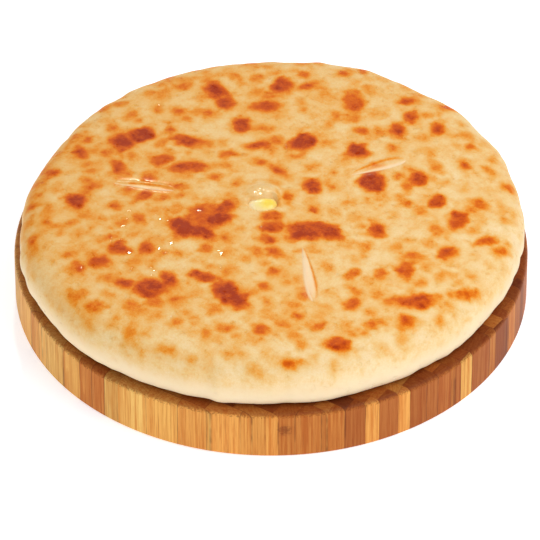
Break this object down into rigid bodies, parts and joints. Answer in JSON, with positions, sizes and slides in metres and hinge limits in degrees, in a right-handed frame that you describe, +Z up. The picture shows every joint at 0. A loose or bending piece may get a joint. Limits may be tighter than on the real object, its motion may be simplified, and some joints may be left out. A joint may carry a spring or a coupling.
{
  "type": "pie",
  "caption": "Round filled flatbread pie with a small centre vent and radial slits, resting on a round end-grain chopping board.",
  "frame": {"origin": "centre of the board's underside", "axes": "+Z up through the middle of the board; the board's strips run along X"},
  "size_m": [0.34, 0.34, 0.072],
  "materials": {
    "dough": "baked crust with a light butter gloss",
    "melted_cheese": "wet gloss",
    "board_wood": "oiled, satin"
  },
  "bodies": {
    "root": {"pie": "dough", "vent_filling": "melted_cheese", "board_strip_01": "board_wood", "board_strip_02": "board_wood", "board_strip_03": "board_wood", "board_strip_04": "board_wood", "board_strip_05": "board_wood", "board_strip_06": "board_wood", "board_strip_07": "board_wood", "board_strip_08": "board_wood", "board_strip_09": "board_wood", "board_strip_10": "board_wood", "board_strip_11": "board_wood", "board_strip_12": "board_wood", "board_strip_13": "board_wood", "board_strip_14": "board_wood", "board_strip_15": "board_wood", "board_strip_16": "board_wood", "board_strip_17": "board_wood", "board_strip_18": "board_wood"}
  },
  "joints": []
}
